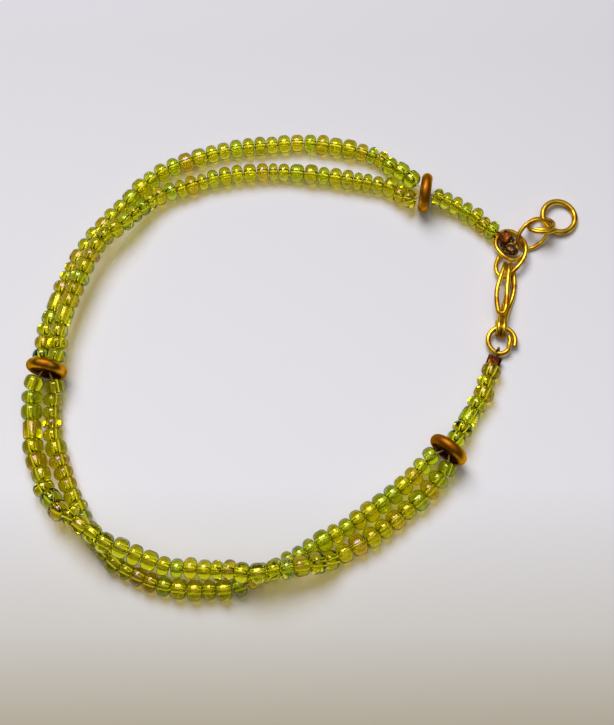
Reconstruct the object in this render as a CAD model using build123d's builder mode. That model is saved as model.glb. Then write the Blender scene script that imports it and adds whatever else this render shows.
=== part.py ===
"""Beaded anklet: two strands of glass seed beads through three brass spacers, closed by a wire hook.

Millimetres, +Z up. The anklet lies on the table (z = 0), the clasp on its +X side.
The glass beads of one strand are one solid, joined by the thread that runs through them.
"""
import math
import os
import random

from build123d import *

# Glass beads: the tube cuts on the thread, each with its own spread of sizes.
BEAD_CUTS = {
    "s": {"length": 1.70, "diameter": 3.15, "corner": 0.62},
    "n": {"length": 2.10, "diameter": 3.25, "corner": 0.68},
    "l": {"length": 2.45, "diameter": 3.35, "corner": 0.64},
    "t": {"length": 3.40, "diameter": 3.10, "corner": 0.46},
}
LENGTH_SPREAD = 0.06
DIAMETER_SPREAD = 0.075
BEAD_SEED = 7
BEAD_GAP = 0.07            # along the thread, between the flat ends of two beads
SIDE_GAP = 0.08            # between the beads of two strands
TABLE_GAP = 0.01           # below a bead that lies on the table
SETTLE_ROUNDS = 80
GUIDE_STEPS = 12           # samples on each stretch of a guide
NEAR = 6.0                 # beads further apart than this never meet
HOME_PULL = 0.06           # how firmly a bead keeps to its place on the guide, each round
END_PULL = 0.5             # the same for the beads beside a spacer or a crimp
TURN_LIMIT = 0.15          # a turn between two beads, as a sine, past which they part no further
TURN_ROOM = 0.05           # spare length that each bead leaves on the guide for such turns

THREAD_RADIUS = 0.18
# The wires of the rings and of the hook.
WIRE_RADII = {
    "ring_clasp": 0.39,
    "ring_link": 0.37,
    "ring_coil": 0.35,
    "ring_end": 0.50,
    "ring_hook": 0.42,
    "hook": 0.42,
}

CENTRING = (0.02, 0.24, 0.0)   # moves the middle of the finished anklet over the origin

# Brass spacers: thick rounded discs, standing on their rims, seen along the thread by heading.
SPACER_RADIUS = 3.42
SPACER_WIDTH = 1.85
SPACER_BORE = 1.12
SPACER_EDGE = 0.92
SPACER_BORE_EDGE = 0.35
SPACER_CLEARANCE = 0.34    # from the spacer's face to the first bead
LEAN_CLEARANCE = 1.25      # more, for a bead that leans, by the sine of its lean
HOLE_SPREAD = 0.45         # two threads share the bore this far each side of its axis
THREAD_REACH = 0.25        # a thread ends this far short of the spacer's middle
SPACERS = {
    "spacer_top": {"x": 20.4, "y": 28.8, "heading": -9.0},
    "spacer_left": {"x": -43.0, "y": -3.2, "heading": 79.0},
    "spacer_bottom": {"x": 22.9, "y": -17.1, "heading": 52.0},
}

# Strands: where each begins and ends (spacer, its face, side of the bore), the cuts in the order
# they are threaded, and a guide of the strand's centre line as (x, y, height over the table).
STRANDS = {
    "strand_far_outer": {
        "start": ("spacer_top", -1, 1), "end": ("spacer_left", 1, 0.8), "heights": (3.2, 2.2),
        "strung": "llnssnllnnnnnnnnnnllnnnllnnllnlssntlnnn",
        "guide": ((16.0, 33.4, 2.4), (12.0, 36.6, 1.7), (6.5, 38.3, 1.7), (-0.5, 39.3, 1.7),
                  (-7.0, 38.8, 1.7), (-13.5, 38.0, 1.7), (-19.5, 36.2, 1.7), (-25.5, 33.4, 1.7),
                  (-30.5, 28.5, 1.7), (-35.0, 23.2, 1.7), (-38.4, 18.3, 1.7), (-41.1, 12.4, 1.7),
                  (-42.9, 6.5, 1.7), (-43.8, 2.6, 2.0)),
    },
    "strand_far_inner": {
        "start": ("spacer_top", -1, -1), "end": ("spacer_left", 1, -0.8), "heights": (2.9, 4.0),
        "strung": "nnlnssnnnllnsnlnnnsnsnnsnnllnnnlnnltnnn",
        "guide": ((16.0, 29.9, 2.2), (12.5, 31.1, 1.7), (7.5, 32.1, 1.7), (2.0, 33.0, 1.7),
                  (-4.0, 33.6, 1.7), (-10.5, 33.4, 1.7), (-16.0, 32.4, 1.7), (-21.0, 30.7, 1.7),
                  (-26.0, 28.4, 2.4), (-31.3, 23.1, 3.8), (-35.0, 19.3, 4.4), (-38.1, 12.9, 4.4),
                  (-40.3, 6.1, 4.4), (-41.2, 2.6, 4.1)),
    },
    "strand_near_over": {
        "start": ("spacer_left", -1, 1), "end": ("spacer_bottom", -1, -1), "heights": (2.9, 2.7),
        "strung": "lnltlllnllnllllnlnnnnsnnlnnllllllnlllnnn",
        "guide": ((-45.3, -9.8, 1.8), (-44.6, -15.8, 1.7), (-42.4, -22.7, 2.2), (-39.8, -26.3, 3.4),
                  (-36.2, -29.4, 4.8), (-32.2, -32.2, 4.9), (-28.2, -34.1, 3.9), (-22.6, -36.1, 3.2),
                  (-16.9, -36.8, 3.2), (-12.6, -37.2, 3.8), (-8.6, -37.4, 4.8), (-4.0, -36.8, 4.8),
                  (1.0, -35.6, 3.6), (5.5, -33.7, 1.8), (12.1, -29.7, 1.7), (17.7, -25.1, 1.8)),
    },
    "strand_near_under": {
        "start": ("spacer_left", -1, -1), "end": ("spacer_bottom", -1, 1), "heights": (2.9, 2.8),
        "strung": "lnnsnlnnnnnnnlnlnnnnllnlnnnnnnnlnnnllnlnnn",
        "guide": ((-41.9, -9.8, 1.8), (-41.2, -15.8, 1.7), (-39.2, -21.2, 1.7), (-37.0, -26.3, 1.7),
                  (-33.8, -31.3, 1.7), (-29.5, -35.7, 1.7), (-23.5, -38.4, 1.7), (-17.1, -39.3, 1.7),
                  (-10.6, -38.5, 1.7), (-6.0, -36.5, 1.7), (-1.7, -34.3, 1.7), (3.8, -31.2, 1.7),
                  (9.0, -28.0, 1.7), (14.3, -23.9, 1.7), (17.5, -21.2, 2.0)),
    },
    "tail_top": {
        "start": ("spacer_top", 1, 0), "end": None, "heights": (3.0, None),
        "strung": "snnnnnn",
        "guide": ((25.1, 27.3, 2.2), (27.0, 26.3, 1.8), (28.7, 25.2, 1.65), (30.2, 23.9, 1.65),
                  (32.5, 22.0, 1.65)),
    },
    "tail_bottom": {
        "start": ("spacer_bottom", 1, 0), "end": None, "heights": (2.9, None),
        "strung": "lntnlnl",
        "guide": ((25.4, -13.3, 2.4), (26.8, -10.9, 1.9), (28.1, -8.8, 1.65), (29.3, -6.6, 1.65),
                  (30.0, -4.5, 1.65), (31.1, -2.1, 1.65)),
    },
}

# Crimps: crushed tubes that hold the thread's loop at each end of the anklet.
CRIMP_WIDTH = 2.40
CRIMP_HEIGHT = 1.10
CRIMP_LENGTH = 1.45
CRIMP_BORE_WIDTH = 1.50
CRIMP_BORE_HEIGHT = 0.56
CRIMP_LEG = 0.27           # the loop's two legs lie this far each side of the bore's middle
CRIMPS = {
    "crimp_top": {"x": 34.0, "y": 20.9, "z": 2.20, "heading": -36.0},
    "crimp_bottom": {"x": 31.25, "y": -1.15, "z": 1.22, "heading": 68.0},
}
# The thread's loop past each crimp, from its mouth and back: (along, height, side of the legs).
LOOPS = {
    "crimp_top": ((-2.60, 1.66, 1.0), (-0.90, 2.20, 1.0), (0.80, 2.20, 1.0), (1.40, 1.85, 0.6),
                  (1.40, 0.75, -0.6), (0.75, 0.32, -1.0), (-1.20, 0.30, -1.0), (-1.90, 0.85, -1.0),
                  (-2.60, 1.64, -1.0)),
    "crimp_bottom": ((-1.80, 1.45, 1.0), (-0.95, 1.26, 1.0), (0.80, 1.26, 1.0), (1.45, 1.68, 0.8),
                     (2.25, 1.80, 0.4), (2.65, 1.00, -0.1), (2.25, 0.24, -0.5), (1.50, 0.20, -0.8),
                     (1.15, 0.42, -1.0), (0.98, 1.14, -1.0), (-0.95, 1.22, -1.0), (-1.80, 1.42, -1.0)),
}

# Past the upper crimp the thread's ends are wound into a flat knot that fills the clasp's ring.
# A row for each layer: its middle from the crimp, its size, and the heights it lies between.
KNOT = (
    {"along": 0.65, "side": -0.25, "length": 2.20, "width": 2.60, "low": 0.85, "high": 1.56},
    {"along": 1.85, "side": -0.45, "length": 2.10, "width": 1.60, "low": 1.20, "high": 2.10},
)
KNOT_CORNER = 0.75
KNOT_EDGE = 0.25

# Jump rings and hook, bent from brass wire.
# The clasp's ring is a double-wound one whose turns have sprung apart: a row for each bend.
RING_CLASP = (
    (37.0, 18.2, 0.88), (36.3, 17.4, 1.02), (35.2, 17.1, 1.20), (33.7, 17.8, 1.35), (32.5, 19.4, 1.35),
    (32.5, 21.0, 1.25), (33.7, 22.6, 1.05), (35.5, 22.8, 0.75), (36.9, 21.8, 0.52),
    (37.6, 20.0, 1.60), (37.5, 18.1, 1.85), (36.8, 16.6, 1.80), (35.6, 15.3, 1.60),
    (34.4, 14.3, 1.42), (33.3, 13.8, 1.35), (32.5, 14.6, 1.10), (32.3, 16.3, 0.75),
    (33.0, 18.0, 0.42), (33.8, 19.3, 0.41),
)
RING_LINK = {"x": 38.9, "y": 21.75, "z": 1.75, "long": 2.92, "short": 1.83, "heading": 33.0,
             "rise_along": 0.64, "rise_across": 1.14}
RING_COIL = {"x": 40.5, "y": 23.7, "z": 1.66, "radius": 2.08, "lean": 38.0, "lean_heading": 92.0,
             "start": 235.0, "sweep": 435.0, "spread": 0.86, "spread_from": 540.0, "spread_to": 580.0,
             "lift": 0.0}
RING_END = {"x": 43.72, "y": 25.42, "z": 0.93, "radius": 2.88, "lean": 8.0, "lean_heading": 0.0}
RING_HOOK = {"x": 32.7, "y": 2.50, "z": 1.16, "radius": 2.28, "lean": 4.0, "lean_heading": -90.0,
             "start": -24.0, "sweep": 413.0, "spread": -0.92, "spread_from": 285.0, "spread_to": 330.0,
             "lift": 0.35}
TURN_STEP = 30.0           # degrees between two bends of a round ring

# The hook: the wire is doubled, with a small eye at one end and a long hairpin tip at the other.
# A row for each bend of the pair: its middle, its height and half of the space between the wires.
HOOK = (
    {"x": 32.75, "y": 6.20, "z": 0.44, "half": 0.455},
    {"x": 32.60, "y": 4.25, "z": 0.43, "half": 0.455},
    {"x": 32.55, "y": 3.10, "z": 1.25, "half": 0.455},
    {"x": 32.60, "y": 4.35, "z": 2.44, "half": 0.455},
    {"x": 33.00, "y": 6.55, "z": 1.70, "half": 0.455},
    {"x": 33.80, "y": 8.70, "z": 0.68, "half": 0.46},
    {"x": 34.70, "y": 11.0, "z": 0.45, "half": 0.50},
    {"x": 35.05, "y": 13.4, "z": 0.45, "half": 0.50},
    {"x": 34.95, "y": 15.1, "z": 0.46, "half": 0.47},
    {"x": 34.60, "y": 16.2, "z": 0.95, "half": 0.46},
    {"x": 34.30, "y": 16.2, "z": 1.95, "half": 0.46},
    {"x": 33.90, "y": 15.0, "z": 2.55, "half": 0.46},
    {"x": 33.40, "y": 13.0, "z": 2.75, "half": 0.66},
    {"x": 33.00, "y": 11.3, "z": 2.73, "half": 0.84},
    {"x": 32.85, "y": 9.70, "z": 2.62, "half": 0.88},
    {"x": 32.80, "y": 8.10, "z": 2.48, "half": 0.74},
    {"x": 32.70, "y": 7.00, "z": 2.38, "half": 0.455},
)
HOOK_SIDE = (0.985, -0.17, 0.0)
BEND_SHARE = 0.45          # a bend takes this share of the shorter run beside it


def unit(vector):
    """The vector at length 1."""
    size = math.hypot(*vector)
    return tuple(part / size for part in vector)


def along(start, direction, distance):
    """The point a distance from start in a direction."""
    return tuple(a + distance * d for a, d in zip(start, direction))


def dot(first, second):
    """The scalar product."""
    return sum(a * b for a, b in zip(first, second))


def between(start, end):
    """The vector from start to end."""
    return tuple(b - a for a, b in zip(start, end))


def heading(degrees):
    """The level unit vector at an angle from +X."""
    angle = math.radians(degrees)
    return (math.cos(angle), math.sin(angle), 0.0)


def smooth(points):
    """A Catmull-Rom curve through the points, as short runs."""
    first = along(points[0], between(points[1], points[0]), 1.0)
    last = along(points[-1], between(points[-2], points[-1]), 1.0)
    ends = [first, *points, last]
    curve = []
    for p0, p1, p2, p3 in zip(ends, ends[1:], ends[2:], ends[3:]):
        for step in range(GUIDE_STEPS):
            t = step / GUIDE_STEPS
            curve.append(tuple(
                0.5 * (2 * b + (c - a) * t + (2 * a - 5 * b + 4 * c - d) * t**2 + (3 * b - a - 3 * c + d) * t**3)
                for a, b, c, d in zip(p0, p1, p2, p3)
            ))
    return [*curve, points[-1]]


def run_lengths(line):
    """How far each point of a line lies from its start, along the line."""
    lengths = [0.0]
    for a, b in zip(line, line[1:]):
        lengths.append(lengths[-1] + math.dist(a, b))
    return lengths


def point_at(line, lengths, distance):
    """The point at a distance along a line."""
    step = 0
    while step < len(lengths) - 2 and lengths[step + 1] < distance:
        step += 1
    share = (distance - lengths[step]) / (lengths[step + 1] - lengths[step])
    return along(line[step], between(line[step], line[step + 1]), share)


def bore_point(place, distance):
    """A point by a spacer's bore: on the thread's side of it, a distance out from its middle."""
    name, face, side = place
    spacer = SPACERS[name]
    axis = heading(spacer["heading"])
    across = heading(spacer["heading"] + 90.0)
    middle = (spacer["x"], spacer["y"], SPACER_RADIUS)
    return along(along(middle, axis, face * distance), across, side * HOLE_SPREAD)


def first_point(place, height, following):
    """Where a strand's first bead begins: beside the spacer's face, one bead to each side.

    A bead that leans away from the spacer's axis begins further out, so that its rim clears the face.
    """
    name, face, side = place
    spacer = SPACERS[name]
    axis = heading(spacer["heading"])
    across = heading(spacer["heading"] + 90.0)
    spread = (BEAD_CUTS["n"]["diameter"] + SIDE_GAP) / 2 * side
    point = along((spacer["x"], spacer["y"], height), across, spread)
    lean = math.sqrt(1 - dot(unit(between(point, following)), axis) ** 2)
    return along(point, axis, face * (SPACER_WIDTH / 2 + SPACER_CLEARANCE + LEAN_CLEARANCE * lean))


def thread_beads(strand, chance):
    """The strand's beads, laid end to end along its guide and scaled a little to fill it."""
    guide = list(strand["guide"])
    guide.insert(0, first_point(strand["start"], strand["heights"][0], guide[0]))
    if strand["end"]:
        guide.append(first_point(strand["end"], strand["heights"][1], guide[-1]))
    line = smooth(guide)
    lengths = run_lengths(line)
    beads = []
    for cut in strand["strung"]:
        sizes = BEAD_CUTS[cut]
        beads.append({
            "cut": cut,
            "length": sizes["length"] * chance.uniform(1 - LENGTH_SPREAD, 1 + LENGTH_SPREAD),
            "radius": sizes["diameter"] / 2 * chance.uniform(1 - DIAMETER_SPREAD, 1 + DIAMETER_SPREAD),
        })
    gaps = (BEAD_GAP + TURN_ROOM) * (len(beads) - 1)
    fit = (lengths[-1] - gaps) / sum(bead["length"] for bead in beads)
    reached = 0.0
    for bead in beads:
        bead["length"] *= fit
        bead["corner"] = min(BEAD_CUTS[bead["cut"]]["corner"], 0.46 * bead["length"])
        bead["centre"] = point_at(line, lengths, reached + bead["length"] / 2)
        bead["home"] = bead["centre"]
        reached += bead["length"] + BEAD_GAP + TURN_ROOM
    return beads, fit


def aim(strand, beads):
    """Turn each bead along the thread, from the bead before it to the bead after it."""
    first = bore_point(strand["start"], SPACER_WIDTH / 2)
    last = along(beads[-1]["centre"], between(beads[-2]["centre"], beads[-1]["centre"]), 1.0)
    if strand["end"]:
        last = bore_point(strand["end"], SPACER_WIDTH / 2)
    line = [first, *(bead["centre"] for bead in beads), last]
    for bead, before, after in zip(beads, line, line[2:]):
        bead["axis"] = unit(between(before, after))


def core(bead):
    """Half the length of the bead's core: a line on its axis that its radius is drawn round."""
    return max(bead["length"] / 2 - bead["corner"], 0.0)


def closest(first, second):
    """The closest points of two beads' cores."""
    apart = between(second["centre"], first["centre"])
    lean = dot(first["axis"], second["axis"])
    one = dot(first["axis"], apart)
    two = dot(second["axis"], apart)
    spare = max(1 - lean * lean, 1e-6)
    s = max(-core(first), min(core(first), (lean * two - one) / spare))
    t = max(-core(second), min(core(second), two + s * lean))
    s = max(-core(first), min(core(first), t * lean - one))
    return along(first["centre"], first["axis"], s), along(second["centre"], second["axis"], t)


def part_beads(first, second):
    """Move two beads of different strands apart until their sides clear each other."""
    here, there = closest(first, second)
    need = first["radius"] + second["radius"] + SIDE_GAP
    distance = math.dist(here, there)
    if distance < need:
        push = unit(between(here, there))
        first["centre"] = along(first["centre"], push, (distance - need) / 2)
        second["centre"] = along(second["centre"], push, (need - distance) / 2)


def end_to_end(first, second):
    """Move two neighbours on a thread apart until their flat ends clear each other."""
    line = unit(between(first["centre"], second["centre"]))
    rims = first["radius"] - first["corner"] + second["radius"] - second["corner"]
    turn = math.sqrt(max(1 - dot(first["axis"], second["axis"]) ** 2, 0.0))
    need = (first["length"] + second["length"]) / 2 + BEAD_GAP + rims * min(turn, TURN_LIMIT) / 2
    distance = math.dist(first["centre"], second["centre"])
    move = (need - distance) / 2
    if move < 0:
        move *= 0.2
    first["centre"] = along(first["centre"], line, -move)
    second["centre"] = along(second["centre"], line, move)


def settle(strands):
    """Let the beads push each other aside, as they do when the strands are laid down together."""
    rows = [(name, bead) for name, beads in strands.items() for bead in beads]
    pairs = [
        (one, two)
        for at, (name, one) in enumerate(rows)
        for other, two in rows[at + 1:]
        if name != other and math.dist(one["centre"], two["centre"]) < NEAR
    ]
    for _ in range(SETTLE_ROUNDS):
        for name, beads in strands.items():
            aim(STRANDS[name], beads)
            for bead in beads:
                bead["centre"] = along(bead["centre"], between(bead["centre"], bead["home"]), HOME_PULL)
            for first, second in zip(beads, beads[1:]):
                end_to_end(first, second)
            for end in (beads[0], beads[-1]):
                end["centre"] = along(end["centre"], between(end["centre"], end["home"]), END_PULL)
        for one, two in pairs:
            part_beads(one, two)
        for _, bead in rows:
            x, y, z = bead["centre"]
            bead["centre"] = (x, y, max(z, bead["radius"] + core(bead) * abs(bead["axis"][2]) + TABLE_GAP))
    for name, beads in strands.items():
        aim(STRANDS[name], beads)


def lay_strands():
    """Every strand's beads, where they lie."""
    chance = random.Random(BEAD_SEED)
    strands = {}
    for name, strand in STRANDS.items():
        strands[name], fit = thread_beads(strand, chance)
        print(f"{name}: {len(strands[name])} beads, sizes x {fit:.3f}")
    settle(strands)
    return strands


def lean_normal(ring):
    """The direction that a leaning ring faces."""
    lean = math.radians(ring["lean"])
    side = heading(ring["lean_heading"])
    return (side[0] * math.sin(lean), side[1] * math.sin(lean), math.cos(lean))


def ring_bends(ring):
    """The bends of an open ring's wire, from one end to the other; a last stretch lies beside the first."""
    bends = []
    steps = round(ring["sweep"] / TURN_STEP)
    normal = lean_normal(ring)
    outside = 1 / math.cos(math.radians(ring["sweep"] / steps / 2))
    for step in range(steps + 1):
        turn = ring["start"] + ring["sweep"] * step / steps
        share = min(max((turn - ring["spread_from"]) / (ring["spread_to"] - ring["spread_from"]), 0.0), 1.0)
        radius = (ring["radius"] + ring["spread"] * share) * outside
        flat = along((ring["x"], ring["y"], ring["z"]), heading(turn), radius)
        sunk = dot(between((ring["x"], ring["y"], ring["z"]), flat), heading(ring["lean_heading"]))
        tipped = along(flat, heading(ring["lean_heading"]), sunk * (normal[2] - 1.0))
        x, y, z = along(tipped, (0.0, 0.0, -1.0), sunk * math.sin(math.radians(ring["lean"])))
        bends.append(along((x, y, z), normal, ring["lift"] * share))
    return bends


def link_bends(link, count=14):
    """The bends of an oval link's wire, with its end and its side lifted off the table."""
    bends = []
    for step in range(count):
        angle = math.tau * step / count
        lengthways = along((link["x"], link["y"], link["z"]), heading(link["heading"]),
                           link["long"] * math.cos(angle))
        x, y, z = along(lengthways, heading(link["heading"] + 90.0), link["short"] * math.sin(angle))
        rise = link["rise_along"] * math.cos(angle) + link["rise_across"] * math.sin(angle)
        bends.append((x, y, z + rise))
    return bends


def bend_radii(points, closed):
    """A radius for each bend: as large as the shorter run beside it allows."""
    points = [tuple(point) for point in points]
    if closed:
        points = [points[-1], *points, points[0]]
    radii = []
    for before, here, after in zip(points, points[1:], points[2:]):
        turn = Vector(*between(before, here)).get_angle(Vector(*between(here, after)))
        shorter = min(math.dist(before, here), math.dist(here, after))
        radii.append(BEND_SHARE * shorter / math.tan(math.radians(turn) / 2))
    return radii


def make_wire(points, radius, closed=False):
    """A round wire or thread through the bends: straight runs joined by tangent arcs."""
    with BuildPart() as wire:
        with BuildLine() as path:
            FilletPolyline(*points, radius=bend_radii(points, closed), close=closed)
        with BuildSketch(Plane(origin=path.line @ 0, z_dir=path.line % 0)):
            Circle(radius)
        sweep()
    return wire


def make_bead(bead):
    """A glass bead: a short cut of cane with its rims melted round, turned about the thread."""
    across = unit((-bead["axis"][1], bead["axis"][0], 0.0))
    section = Plane(origin=bead["centre"], x_dir=bead["axis"], z_dir=across)
    with BuildPart() as glass:
        with BuildSketch(section) as half:
            Rectangle(bead["length"], bead["radius"], align=(Align.CENTER, Align.MIN))
            fillet(half.vertices().group_by(Axis.Y)[-1], bead["corner"])
        revolve(axis=Axis(bead["centre"], bead["axis"]))
    return glass


def make_thread(start, end):
    """A straight stretch of thread."""
    with BuildPart() as thread:
        with BuildSketch(Plane(origin=start, z_dir=between(start, end))):
            Circle(THREAD_RADIUS)
        extrude(amount=math.dist(start, end))
    return thread


def crimp_point(crimp, row):
    """A point of the thread's loop by a crimp, from its row of the table."""
    distance, height, side = row
    middle = along((crimp["x"], crimp["y"], height), heading(crimp["heading"]), distance)
    return along(middle, heading(crimp["heading"] + 90.0), side * CRIMP_LEG)


def make_knot(crimp):
    """The knot past a crimp: rounded layers, one on another."""
    axis, across = heading(crimp["heading"]), heading(crimp["heading"] + 90.0)
    with BuildPart() as knot:
        for layer in KNOT:
            corner = along((crimp["x"], crimp["y"], layer["low"]), axis, layer["along"])
            with BuildSketch(Plane(origin=along(corner, across, layer["side"]), x_dir=axis)):
                RectangleRounded(layer["length"], layer["width"], KNOT_CORNER)
            extrude(amount=layer["high"] - layer["low"])
        rims = knot.edges().filter_by(GeomType.LINE, reverse=True).group_by(Axis.Z)[-1]
        fillet(rims, KNOT_EDGE)
    return knot


def keep(solid, name):
    """Write a finished piece, moved with the rest of the anklet."""
    piece = solid.moved(Location(CENTRING))
    piece.label = name
    export_step(piece, f"parts/{name}.step")


# ---- solids
os.makedirs("parts", exist_ok=True)
strands = lay_strands()

for name, beads in strands.items():
    pieces = [make_bead(bead).part for bead in beads]
    for here, following in zip(beads, beads[1:]):
        pieces.append(make_thread(here["centre"], following["centre"]).part)
    for bead, place in ((beads[0], STRANDS[name]["start"]), (beads[-1], STRANDS[name]["end"])):
        if place:
            pieces.append(make_thread(bead["centre"], bore_point(place, THREAD_REACH)).part)
    if name.startswith("tail"):
        crimp = name.replace("tail", "crimp")
        loop = [crimp_point(CRIMPS[crimp], row) for row in LOOPS[crimp]]
        pieces.append(make_wire(loop, THREAD_RADIUS).part)
    if name == "tail_top":
        pieces.append(make_knot(CRIMPS["crimp_top"]).part)
    with BuildPart() as strand:
        add(pieces)
    keep(strand.part, name)

# The spacers: rounded discs with a bore that all the strands' threads share.
for name, spacer in SPACERS.items():
    axis = heading(spacer["heading"])
    middle = (spacer["x"], spacer["y"], SPACER_RADIUS)
    with BuildPart() as disc:
        with BuildSketch(Plane(origin=middle, x_dir=axis, z_dir=heading(spacer["heading"] - 90.0))) as half:
            with Locations((0, SPACER_BORE)):
                Rectangle(SPACER_WIDTH, SPACER_RADIUS - SPACER_BORE, align=(Align.CENTER, Align.MIN))
            fillet(half.vertices().group_by(Axis.Y)[-1], SPACER_EDGE)
            fillet(half.vertices().group_by(Axis.Y)[0], SPACER_BORE_EDGE)
        revolve(axis=Axis(middle, axis))
    keep(disc.part, name)

# The crimps: crushed tubes, open at both ends.
for name, crimp in CRIMPS.items():
    axis = heading(crimp["heading"])
    mouth = along((crimp["x"], crimp["y"], crimp["z"]), axis, -CRIMP_LENGTH / 2)
    with BuildPart() as tube:
        with BuildSketch(Plane(origin=mouth, x_dir=heading(crimp["heading"] + 90.0), z_dir=axis)):
            RectangleRounded(CRIMP_WIDTH, CRIMP_HEIGHT, 0.49 * CRIMP_HEIGHT)
            RectangleRounded(CRIMP_BORE_WIDTH, CRIMP_BORE_HEIGHT, 0.49 * CRIMP_BORE_HEIGHT, mode=Mode.SUBTRACT)
        extrude(amount=CRIMP_LENGTH)
    keep(tube.part, name)

# The open rings and the link between them.
keep(make_wire(RING_CLASP, WIRE_RADII["ring_clasp"]).part, "ring_clasp")
keep(make_wire(link_bends(RING_LINK), WIRE_RADII["ring_link"], closed=True).part, "ring_link")
keep(make_wire(ring_bends(RING_COIL), WIRE_RADII["ring_coil"]).part, "ring_coil")
keep(make_wire(ring_bends(RING_HOOK), WIRE_RADII["ring_hook"]).part, "ring_hook")

# The last ring of the row is closed and round.
with BuildPart() as ring_end:
    with Locations(Plane(origin=(RING_END["x"], RING_END["y"], RING_END["z"]), z_dir=lean_normal(RING_END))):
        Torus(RING_END["radius"], WIRE_RADII["ring_end"])
keep(ring_end.part, "ring_end")

# The hook: the pair's left wire to the tip, across, and back along the right wire.
left_wire = [along((bend["x"], bend["y"], bend["z"]), HOOK_SIDE, -bend["half"]) for bend in HOOK]
right_wire = [along((bend["x"], bend["y"], bend["z"]), HOOK_SIDE, bend["half"]) for bend in HOOK]
keep(make_wire([*left_wire, *reversed(right_wire)], WIRE_RADII["hook"]).part, "hook")
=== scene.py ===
import math
import random

import bmesh
import bpy
import numpy as np
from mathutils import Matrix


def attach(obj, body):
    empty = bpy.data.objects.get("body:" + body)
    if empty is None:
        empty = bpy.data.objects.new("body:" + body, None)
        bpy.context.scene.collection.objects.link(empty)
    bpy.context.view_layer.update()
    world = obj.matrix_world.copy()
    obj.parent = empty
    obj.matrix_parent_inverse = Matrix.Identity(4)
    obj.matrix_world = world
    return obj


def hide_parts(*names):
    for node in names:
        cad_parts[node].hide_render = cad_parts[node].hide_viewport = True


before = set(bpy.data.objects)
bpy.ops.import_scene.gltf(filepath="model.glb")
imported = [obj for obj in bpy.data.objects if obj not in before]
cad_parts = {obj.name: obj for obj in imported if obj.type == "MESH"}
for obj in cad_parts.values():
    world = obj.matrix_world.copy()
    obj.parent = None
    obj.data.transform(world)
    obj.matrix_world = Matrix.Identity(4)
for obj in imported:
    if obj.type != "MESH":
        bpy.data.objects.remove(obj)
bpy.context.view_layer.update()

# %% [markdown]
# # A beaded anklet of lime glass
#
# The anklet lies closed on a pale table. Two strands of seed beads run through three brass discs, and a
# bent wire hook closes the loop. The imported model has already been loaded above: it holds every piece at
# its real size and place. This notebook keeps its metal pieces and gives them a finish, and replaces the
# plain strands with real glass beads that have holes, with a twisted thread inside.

MM = 0.001                 # sizes below are in millimetres, and Blender's are in metres

scene = bpy.context.scene

# %% [markdown]
# ## The camera
#
# The anklet is seen from above and a little from the front, close by. The camera could be placed by eye,
# but its height and distance are then hard to read back, so it is placed by numbers that mean something:
# the point on the table that it looks at, its distance, its elevation, and how wide a strip of table
# the picture spans at that distance.

# %% Helper: put something in the scene
def add_object(name, data):
    """A new object in the scene, made of a mesh, a lamp or a camera."""
    added = bpy.data.objects.new(name, data)
    scene.collection.objects.link(added)
    return added


# %% Camera
LOOK_AT = (0.02, -0.76, 0.0)
CAMERA_DISTANCE = 230.0
CAMERA_ELEVATION = 71.0
PICTURE_SPAN = 103.15

camera_data = bpy.data.cameras.new("camera")
camera_data.sensor_fit = "HORIZONTAL"
camera_data.angle = 2 * math.atan(PICTURE_SPAN / 2 / CAMERA_DISTANCE)
camera_data.clip_start = 0.005
camera = add_object("camera", camera_data)
elevation = math.radians(CAMERA_ELEVATION)
camera.location = (
    LOOK_AT[0] * MM,
    (LOOK_AT[1] - CAMERA_DISTANCE * math.cos(elevation)) * MM,
    CAMERA_DISTANCE * math.sin(elevation) * MM,
)
camera.rotation_euler = (math.pi / 2 - elevation, 0.0, 0.0)
scene.camera = camera
scene.view_settings.view_transform = "Standard"
print("camera lens:", round(camera_data.lens, 1), "mm")

# %% [markdown]
# ## The first helpers for materials
#
# Every material here starts the same way: a new node tree with one Principled shader whose plain numbers
# are set by name. Helpers keep that to one line, so that each material's own cell shows only what is
# special about it. The one that is called most gives a node's inputs their values. Whether a value is a
# number, a colour or another node's output, the line that gives it looks the same.

# %% Helpers: a node's inputs, a new material and a new node
def feed(node, *row, **named):
    """Give a node's inputs their values, in order or by name: a plain value, or an output to link."""
    pairs = list(zip(node.inputs, row))
    pairs += [(node.inputs[name.replace("_", " ")], value) for name, value in named.items()]
    for socket, value in pairs:
        if isinstance(value, bpy.types.NodeSocket):
            node.id_data.links.new(value, socket)
        else:
            socket.default_value = value


def new_material(name, **values):
    """A material whose Principled shader has the values, given as input_name=value."""
    material = bpy.data.materials.new(name)
    material.use_nodes = True
    shader = material.node_tree.nodes["Principled BSDF"]
    feed(shader, **values)
    return material, material.node_tree, shader


def add_node(tree, kind, **settings):
    """A node of the kind, with its settings."""
    node = tree.nodes.new(kind)
    for key, value in settings.items():
        setattr(node, key, value)
    return node


# %% [markdown]
# ## The table
#
# The table is a plain pale sheet, a little cooler at the back and warmer at the front. Its colour also
# carries painted shade: it is painted darker and browner towards the front and a little darker at the far
# back, standing in for the fall-off of the light. A flat colour would do, but the slow change of colour
# gives the picture its calm depth. It is worked out from the place on the table, not from the camera, so
# it stays put when the view turns.

# %% Table
TABLE_HALF = 1500.0
# The table's colour and painted shade, back to front, by its place along Y: bluish, as the light is warm.
TABLE_TINTS_AND_SHADE = (
    (60.0, (0.625, 0.631, 0.760, 1.0)),
    (-22.0, (0.775, 0.785, 0.945, 1.0)),
    (-45.0, (0.632, 0.630, 0.685, 1.0)),
    (-62.0, (0.455, 0.420, 0.366, 1.0)),
    (-85.0, (0.430, 0.390, 0.335, 1.0)),
)

table_mesh = bpy.data.meshes.new("table")
half = TABLE_HALF * MM
table_mesh.from_pydata(
    [(-half, -half, 0), (half, -half, 0), (half, half, 0), (-half, half, 0)], [], [(0, 1, 2, 3)]
)
table = add_object("table", table_mesh)

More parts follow.
